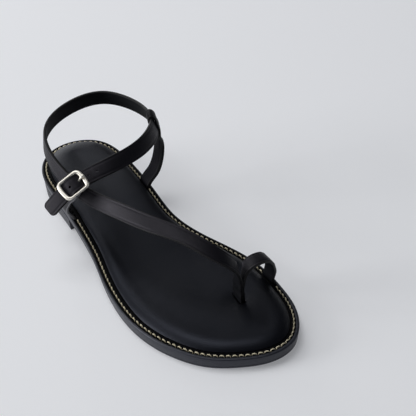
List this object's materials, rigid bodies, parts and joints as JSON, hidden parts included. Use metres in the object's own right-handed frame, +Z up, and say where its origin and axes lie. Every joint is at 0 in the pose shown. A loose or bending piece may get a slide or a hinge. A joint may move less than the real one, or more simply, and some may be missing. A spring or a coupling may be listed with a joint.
{
  "type": "strappy flat sandal",
  "caption": "Flat leather sandal for the right foot: stitched sole, padded footbed, toe loop and a long wrap strap fastened at the ankle by a buckle.",
  "frame": {"origin": "middle of the shoe's box, on the floor that it stands on", "axes": "+Z up, -Y from heel to toe, +X towards the inner (medial) side"},
  "size_m": [0.1031, 0.2568, 0.0768],
  "materials": {
    "sole_leather": "black ink-finished edge, waxed",
    "footbed_leather": "smooth black leather over thin padding",
    "strap_leather": "smooth black leather with a soft sheen and dyed edges",
    "nickel": "polished nickel plate"
  },
  "bodies": {
    "root": {"outsole": "sole_leather", "heel": "sole_leather", "footbed": "footbed_leather", "upper_straps": "strap_leather", "buckle_frame": "nickel", "buckle_prong": "nickel"}
  },
  "joints": []
}
